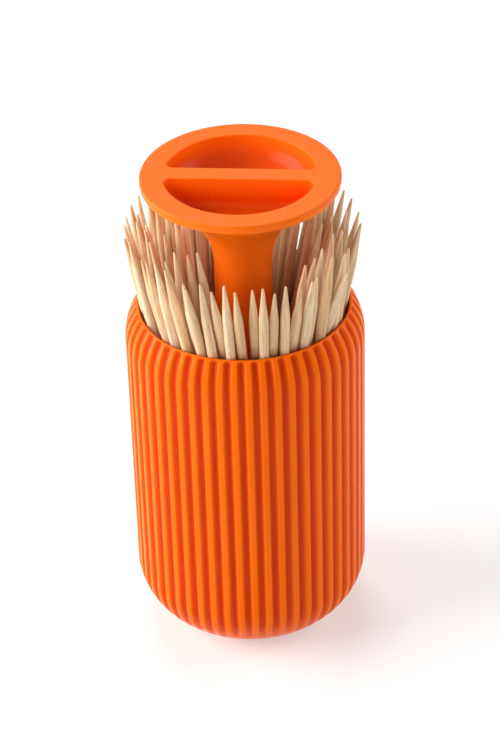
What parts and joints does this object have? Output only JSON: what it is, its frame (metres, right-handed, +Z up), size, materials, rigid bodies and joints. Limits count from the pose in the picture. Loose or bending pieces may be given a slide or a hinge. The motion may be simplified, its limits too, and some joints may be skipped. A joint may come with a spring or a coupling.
{
  "type": "toothpick dispenser",
  "caption": "Round fluted toothpick dispenser: a stemmed lid with a grip bar lifts a tray so that the toothpicks rise and fan out over the mouth.",
  "frame": {"origin": "on the cup's axis, in the plane that its base stands on", "axes": "+Z up along the axis of cup and plunger; the front, where the sheaf of toothpicks is thinnest, is -Y, and +X is to the right"},
  "size_m": [0.052, 0.0522, 0.1128],
  "materials": {
    "cup_plastic": "satin translucent moulded plastic",
    "plunger_plastic": "satin moulded plastic",
    "tray_plastic": "satin moulded plastic",
    "ring_rubber": "smooth soft ring",
    "steel": "plain steel",
    "birch": "sanded birch"
  },
  "bodies": {
    "cup": {"ribbed_cup": "cup_plastic"},
    "ring": {"friction_ring": "ring_rubber"},
    "plunger": {"lid_handle": "plunger_plastic", "carrier_tray": "tray_plastic", "tray_screw": "steel", "tray_washer": "steel"},
    "pair_01": {"toothpick_pair_01": "birch"},
    "pair_02": {"toothpick_pair_02": "birch"},
    "pair_03": {"toothpick_pair_03": "birch"},
    "pair_04": {"toothpick_pair_04": "birch"},
    "pair_05": {"toothpick_pair_05": "birch"},
    "pair_06": {"toothpick_pair_06": "birch"},
    "pair_07": {"toothpick_pair_07": "birch"},
    "pair_08": {"toothpick_pair_08": "birch"},
    "pair_09": {"toothpick_pair_09": "birch"},
    "pair_10": {"toothpick_pair_10": "birch"},
    "pair_11": {"toothpick_pair_11": "birch"},
    "pair_12": {"toothpick_pair_12": "birch"},
    "pair_13": {"toothpick_pair_13": "birch"},
    "pair_14": {"toothpick_pair_14": "birch"},
    "pair_15": {"toothpick_pair_15": "birch"},
    "pair_16": {"toothpick_pair_16": "birch"},
    "pair_17": {"toothpick_pair_17": "birch"},
    "pair_18": {"toothpick_pair_18": "birch"},
    "pair_19": {"toothpick_pair_19": "birch"},
    "pair_20": {"toothpick_pair_20": "birch"},
    "pair_21": {"toothpick_pair_21": "birch"},
    "pair_22": {"toothpick_pair_22": "birch"},
    "pair_23": {"toothpick_pair_23": "birch"},
    "pair_24": {"toothpick_pair_24": "birch"},
    "pair_25": {"toothpick_pair_25": "birch"},
    "pair_26": {"toothpick_pair_26": "birch"},
    "pair_27": {"toothpick_pair_27": "birch"},
    "pair_28": {"toothpick_pair_28": "birch"},
    "pair_29": {"toothpick_pair_29": "birch"},
    "pair_30": {"toothpick_pair_30": "birch"},
    "pair_31": {"toothpick_pair_31": "birch"},
    "pair_32": {"toothpick_pair_32": "birch"},
    "pair_33": {"toothpick_pair_33": "birch"},
    "pair_34": {"toothpick_pair_34": "birch"},
    "pair_35": {"toothpick_pair_35": "birch"},
    "pair_36": {"toothpick_pair_36": "birch"},
    "pair_37": {"toothpick_pair_37": "birch"},
    "pair_38": {"toothpick_pair_38": "birch"},
    "pair_39": {"toothpick_pair_39": "birch"},
    "pair_40": {"toothpick_pair_40": "birch"},
    "pair_41": {"toothpick_pair_41": "birch"},
    "pair_42": {"toothpick_pair_42": "birch"},
    "pair_43": {"toothpick_pair_43": "birch"},
    "pair_44": {"toothpick_pair_44": "birch"},
    "pair_45": {"toothpick_pair_45": "birch"},
    "pair_46": {"toothpick_pair_46": "birch"},
    "pair_47": {"toothpick_pair_47": "birch"},
    "pair_48": {"toothpick_pair_48": "birch"}
  },
  "joints": [
    {"name": "plunger_lift", "type": "slide", "parent": "cup", "child": "ring", "axis": [0, 0, 1], "range_m": [-0.0316, 0]},
    {"name": "plunger_turn", "type": "hinge", "parent": "ring", "child": "plunger", "pos_m": [0, 0, 0], "axis": [0, 0, 1], "continuous": true},
    {"name": "lean_01", "type": "hinge", "parent": "plunger", "child": "pair_01", "pos_m": [0.0045, -0.00481, 0.0376], "axis": [0.9998, 0.0174, 0], "range_deg": [-11.01, 0.1]},
    {"name": "lean_02", "type": "hinge", "parent": "plunger", "child": "pair_02", "pos_m": [0.00602, -0.00309, 0.0376], "axis": [0.9526, 0.3041, 0], "range_deg": [-11.23, 0.1]},
    {"name": "lean_03", "type": "hinge", "parent": "plunger", "child": "pair_03", "pos_m": [0.00644, 0.0014, 0.0376], "axis": [0.7964, 0.6047, 0], "range_deg": [-10.59, 0.1]},
    {"name": "lean_04", "type": "hinge", "parent": "plunger", "child": "pair_04", "pos_m": [0.01392, 0.00541, 0.0376], "axis": [0.6389, 0.7693, 0], "range_deg": [-6.73, 0.1]},
    {"name": "lean_05", "type": "hinge", "parent": "plunger", "child": "pair_05", "pos_m": [0.01179, 0.00918, 0.0376], "axis": [0.5302, 0.8479, 0], "range_deg": [-8.29, 0.1]},
    {"name": "lean_06", "type": "hinge", "parent": "plunger", "child": "pair_06", "pos_m": [0.00865, 0.01218, 0.0376], "axis": [0.1422, 0.9898, 0], "range_deg": [-7.54, 0.1]},
    {"name": "lean_07", "type": "hinge", "parent": "plunger", "child": "pair_07", "pos_m": [0.00412, 0.01436, 0.0376], "axis": [-0.1714, 0.9852, 0], "range_deg": [-7.6, 0.1]},
    {"name": "lean_08", "type": "hinge", "parent": "plunger", "child": "pair_08", "pos_m": [-0.00034, 0.01399, 0.0376], "axis": [-0.5465, 0.8374, 0], "range_deg": [-7.51, 0.1]},
    {"name": "lean_09", "type": "hinge", "parent": "plunger", "child": "pair_09", "pos_m": [-0.00493, 0.01392, 0.0376], "axis": [-0.8031, 0.5959, 0], "range_deg": [-7.32, 0.1]},
    {"name": "lean_10", "type": "hinge", "parent": "plunger", "child": "pair_10", "pos_m": [-0.00919, 0.01177, 0.0376], "axis": [-0.9477, 0.3193, 0], "range_deg": [-6.96, 0.1]},
    {"name": "lean_11", "type": "hinge", "parent": "plunger", "child": "pair_11", "pos_m": [-0.01139, 0.00711, 0.0376], "axis": [-0.9886, -0.1506, 0], "range_deg": [-7.2, 0.1]},
    {"name": "lean_12", "type": "hinge", "parent": "plunger", "child": "pair_12", "pos_m": [-0.01464, 0.00295, 0.0376], "axis": [-0.9373, -0.3485, 0], "range_deg": [-7.08, 0.1]},
    {"name": "lean_13", "type": "hinge", "parent": "plunger", "child": "pair_13", "pos_m": [-0.01487, -0.00141, 0.0376], "axis": [-0.7815, -0.6239, 0], "range_deg": [-7.02, 0.1]},
    {"name": "lean_14", "type": "hinge", "parent": "plunger", "child": "pair_14", "pos_m": [-0.01349, -0.00642, 0.0376], "axis": [-0.4913, -0.871, 0], "range_deg": [-6.79, 0.1]},
    {"name": "lean_15", "type": "hinge", "parent": "plunger", "child": "pair_15", "pos_m": [-0.01068, -0.00634, 0.0376], "axis": [-0.0979, -0.9952, 0], "range_deg": [-7.2, 0.1]},
    {"name": "lean_16", "type": "hinge", "parent": "plunger", "child": "pair_16", "pos_m": [-0.00854, -0.00558, 0.0376], "axis": [0.4732, -0.881, 0], "range_deg": [-7.49, 0.1]},
    {"name": "lean_17", "type": "hinge", "parent": "plunger", "child": "pair_17", "pos_m": [-0.00425, -0.00524, 0.0376], "axis": [0.8952, -0.4456, 0], "range_deg": [-10.27, 0.1]},
    {"name": "lean_18", "type": "hinge", "parent": "plunger", "child": "pair_18", "pos_m": [0.00028, -0.00658, 0.0376], "axis": [0.9589, -0.2838, 0], "range_deg": [-10.33, 0.1]},
    {"name": "lean_19", "type": "hinge", "parent": "plunger", "child": "pair_19", "pos_m": [0.00697, -0.00834, 0.0376], "axis": [0.9987, 0.051, 0], "range_deg": [-8.88, 0.1]},
    {"name": "lean_20", "type": "hinge", "parent": "plunger", "child": "pair_20", "pos_m": [0.01467, -0.00021, 0.0376], "axis": [0.9088, 0.4172, 0], "range_deg": [-8.78, 0.1]},
    {"name": "lean_21", "type": "hinge", "parent": "plunger", "child": "pair_21", "pos_m": [0.0143, 0.00236, 0.0376], "axis": [0.78, 0.6258, 0], "range_deg": [-5.7, 0.1]},
    {"name": "lean_22", "type": "hinge", "parent": "plunger", "child": "pair_22", "pos_m": [0.01058, 0.0072, 0.0376], "axis": [0.5061, 0.8625, 0], "range_deg": [-7.18, 0.1]},
    {"name": "lean_23", "type": "hinge", "parent": "plunger", "child": "pair_23", "pos_m": [0.00672, 0.01115, 0.0376], "axis": [-0.058, 0.9983, 0], "range_deg": [-6.54, 0.1]},
    {"name": "lean_24", "type": "hinge", "parent": "plunger", "child": "pair_24", "pos_m": [0.00104, 0.01229, 0.0376], "axis": [-0.3735, 0.9276, 0], "range_deg": [-7.06, 0.1]},
    {"name": "lean_25", "type": "hinge", "parent": "plunger", "child": "pair_25", "pos_m": [-0.00405, 0.01185, 0.0376], "axis": [-0.7949, 0.6067, 0], "range_deg": [-6.78, 0.1]},
    {"name": "lean_26", "type": "hinge", "parent": "plunger", "child": "pair_26", "pos_m": [-0.00833, 0.00912, 0.0376], "axis": [-0.9526, 0.3042, 0], "range_deg": [-6.41, 0.1]},
    {"name": "lean_27", "type": "hinge", "parent": "plunger", "child": "pair_27", "pos_m": [-0.01181, 0.00425, 0.0376], "axis": [-0.9834, -0.1815, 0], "range_deg": [-6.57, 0.1]},
    {"name": "lean_28", "type": "hinge", "parent": "plunger", "child": "pair_28", "pos_m": [-0.01269, 0.00004, 0.0376], "axis": [-0.8107, -0.5854, 0], "range_deg": [-6.02, 0.1]},
    {"name": "lean_29", "type": "hinge", "parent": "plunger", "child": "pair_29", "pos_m": [-0.01235, -0.00425, 0.0376], "axis": [-0.451, -0.8925, 0], "range_deg": [-5.98, 0.1]},
    {"name": "lean_30", "type": "hinge", "parent": "plunger", "child": "pair_30", "pos_m": [-0.00579, -0.00792, 0.0376], "axis": [0.1584, -0.9874, 0], "range_deg": [-6.64, 0.1]},
    {"name": "lean_31", "type": "hinge", "parent": "plunger", "child": "pair_31", "pos_m": [-0.00565, -0.01206, 0.0376], "axis": [0.4677, -0.8839, 0], "range_deg": [-6.56, 0.1]},
    {"name": "lean_32", "type": "hinge", "parent": "plunger", "child": "pair_32", "pos_m": [-0.0028, -0.01162, 0.0376], "axis": [0.9414, -0.3373, 0], "range_deg": [-7.44, 0.1]},
    {"name": "lean_33", "type": "hinge", "parent": "plunger", "child": "pair_33", "pos_m": [0.0104, 0.00151, 0.0376], "axis": [0.9192, 0.3937, 0], "range_deg": [-8.66, 0.1]},
    {"name": "lean_34", "type": "hinge", "parent": "plunger", "child": "pair_34", "pos_m": [0.00807, 0.0039, 0.0376], "axis": [0.624, 0.7814, 0], "range_deg": [-6.27, 0.1]},
    {"name": "lean_35", "type": "hinge", "parent": "plunger", "child": "pair_35", "pos_m": [0.00505, 0.0096, 0.0376], "axis": [-0.0071, 1, 0], "range_deg": [-6.17, 0.1]},
    {"name": "lean_36", "type": "hinge", "parent": "plunger", "child": "pair_36", "pos_m": [-0.00019, 0.0101, 0.0376], "axis": [-0.5124, 0.8587, 0], "range_deg": [-5.71, 0.1]},
    {"name": "lean_37", "type": "hinge", "parent": "plunger", "child": "pair_37", "pos_m": [-0.00388, 0.00807, 0.0376], "axis": [-0.937, 0.3492, 0], "range_deg": [-6.19, 0.1]},
    {"name": "lean_38", "type": "hinge", "parent": "plunger", "child": "pair_38", "pos_m": [-0.0096, 0.00327, 0.0376], "axis": [-0.9947, -0.1025, 0], "range_deg": [-6.39, 0.1]},
    {"name": "lean_39", "type": "hinge", "parent": "plunger", "child": "pair_39", "pos_m": [-0.01068, -0.00099, 0.0376], "axis": [-0.7504, -0.661, 0], "range_deg": [-5.54, 0.1]},
    {"name": "lean_40", "type": "hinge", "parent": "plunger", "child": "pair_40", "pos_m": [-0.00877, -0.00225, 0.0376], "axis": [-0.0871, -0.9962, 0], "range_deg": [-6.03, 0.1]},
    {"name": "lean_41", "type": "hinge", "parent": "plunger", "child": "pair_41", "pos_m": [-0.00577, -0.00338, 0.0376], "axis": [0.7274, -0.6862, 0], "range_deg": [-5.04, 0.1]},
    {"name": "lean_42", "type": "hinge", "parent": "plunger", "child": "pair_42", "pos_m": [0.00835, 0.00631, 0.0376], "axis": [0.7797, 0.6262, 0], "range_deg": [-8.35, 0.1]},
    {"name": "lean_43", "type": "hinge", "parent": "plunger", "child": "pair_43", "pos_m": [0.00223, 0.01046, 0.0376], "axis": [-0.0656, 0.9978, 0], "range_deg": [-5.52, 0.1]},
    {"name": "lean_44", "type": "hinge", "parent": "plunger", "child": "pair_44", "pos_m": [-0.00524, 0.00651, 0.0376], "axis": [-0.9496, 0.3135, 0], "range_deg": [-5.45, 0.1]},
    {"name": "lean_45", "type": "hinge", "parent": "plunger", "child": "pair_45", "pos_m": [-0.00688, 0.00069, 0.0376], "axis": [-0.818, -0.5752, 0], "range_deg": [-6.21, 0.1]},
    {"name": "lean_46", "type": "hinge", "parent": "plunger", "child": "pair_46", "pos_m": [-0.0021, -0.00638, 0.0376], "axis": [0.4846, -0.8747, 0], "range_deg": [-5.01, 0.1]},
    {"name": "lean_47", "type": "hinge", "parent": "plunger", "child": "pair_47", "pos_m": [0.0016, 0.0065, 0.0376], "axis": [0.1726, 0.985, 0], "range_deg": [-5.22, 0.1]},
    {"name": "lean_48", "type": "hinge", "parent": "plunger", "child": "pair_48", "pos_m": [-0.00656, -0.00146, 0.0376], "axis": [-0.832, -0.5548, 0], "range_deg": [-4.82, 0.1]}
  ],
  "couplings": [
    {"joint": "lean_01", "follows": "plunger_lift", "rad_per_m": 6.0271},
    {"joint": "lean_02", "follows": "plunger_lift", "rad_per_m": 6.1464},
    {"joint": "lean_03", "follows": "plunger_lift", "rad_per_m": 5.7939},
    {"joint": "lean_04", "follows": "plunger_lift", "rad_per_m": 3.6643},
    {"joint": "lean_05", "follows": "plunger_lift", "rad_per_m": 4.5206},
    {"joint": "lean_06", "follows": "plunger_lift", "rad_per_m": 4.1094},
    {"joint": "lean_07", "follows": "plunger_lift", "rad_per_m": 4.1418},
    {"joint": "lean_08", "follows": "plunger_lift", "rad_per_m": 4.0935},
    {"joint": "lean_09", "follows": "plunger_lift", "rad_per_m": 3.9857},
    {"joint": "lean_10", "follows": "plunger_lift", "rad_per_m": 3.7902},
    {"joint": "lean_11", "follows": "plunger_lift", "rad_per_m": 3.9206},
    {"joint": "lean_12", "follows": "plunger_lift", "rad_per_m": 3.8555},
    {"joint": "lean_13", "follows": "plunger_lift", "rad_per_m": 3.8198},
    {"joint": "lean_14", "follows": "plunger_lift", "rad_per_m": 3.6928},
    {"joint": "lean_15", "follows": "plunger_lift", "rad_per_m": 3.9237},
    {"joint": "lean_16", "follows": "plunger_lift", "rad_per_m": 4.0808},
    {"joint": "lean_17", "follows": "plunger_lift", "rad_per_m": 5.6169},
    {"joint": "lean_18", "follows": "plunger_lift", "rad_per_m": 5.6523},
    {"joint": "lean_19", "follows": "plunger_lift", "rad_per_m": 4.8498},
    {"joint": "lean_20", "follows": "plunger_lift", "rad_per_m": 4.7921},
    {"joint": "lean_21", "follows": "plunger_lift", "rad_per_m": 3.093},
    {"joint": "lean_22", "follows": "plunger_lift", "rad_per_m": 3.9115},
    {"joint": "lean_23", "follows": "plunger_lift", "rad_per_m": 3.5598},
    {"joint": "lean_24", "follows": "plunger_lift", "rad_per_m": 3.8451},
    {"joint": "lean_25", "follows": "plunger_lift", "rad_per_m": 3.6865},
    {"joint": "lean_26", "follows": "plunger_lift", "rad_per_m": 3.4859},
    {"joint": "lean_27", "follows": "plunger_lift", "rad_per_m": 3.574},
    {"joint": "lean_28", "follows": "plunger_lift", "rad_per_m": 3.2674},
    {"joint": "lean_29", "follows": "plunger_lift", "rad_per_m": 3.2465},
    {"joint": "lean_30", "follows": "plunger_lift", "rad_per_m": 3.6149},
    {"joint": "lean_31", "follows": "plunger_lift", "rad_per_m": 3.5693},
    {"joint": "lean_32", "follows": "plunger_lift", "rad_per_m": 4.0561},
    {"joint": "lean_33", "follows": "plunger_lift", "rad_per_m": 4.7309},
    {"joint": "lean_34", "follows": "plunger_lift", "rad_per_m": 3.4092},
    {"joint": "lean_35", "follows": "plunger_lift", "rad_per_m": 3.3541},
    {"joint": "lean_36", "follows": "plunger_lift", "rad_per_m": 3.1007},
    {"joint": "lean_37", "follows": "plunger_lift", "rad_per_m": 3.3613},
    {"joint": "lean_38", "follows": "plunger_lift", "rad_per_m": 3.4729},
    {"joint": "lean_39", "follows": "plunger_lift", "rad_per_m": 3.0037},
    {"joint": "lean_40", "follows": "plunger_lift", "rad_per_m": 3.273},
    {"joint": "lean_41", "follows": "plunger_lift", "rad_per_m": 2.7311},
    {"joint": "lean_42", "follows": "plunger_lift", "rad_per_m": 4.5543},
    {"joint": "lean_43", "follows": "plunger_lift", "rad_per_m": 2.9925},
    {"joint": "lean_44", "follows": "plunger_lift", "rad_per_m": 2.9563},
    {"joint": "lean_45", "follows": "plunger_lift", "rad_per_m": 3.373},
    {"joint": "lean_46", "follows": "plunger_lift", "rad_per_m": 2.7109},
    {"joint": "lean_47", "follows": "plunger_lift", "rad_per_m": 2.8301},
    {"joint": "lean_48", "follows": "plunger_lift", "rad_per_m": 2.6062}
  ]
}
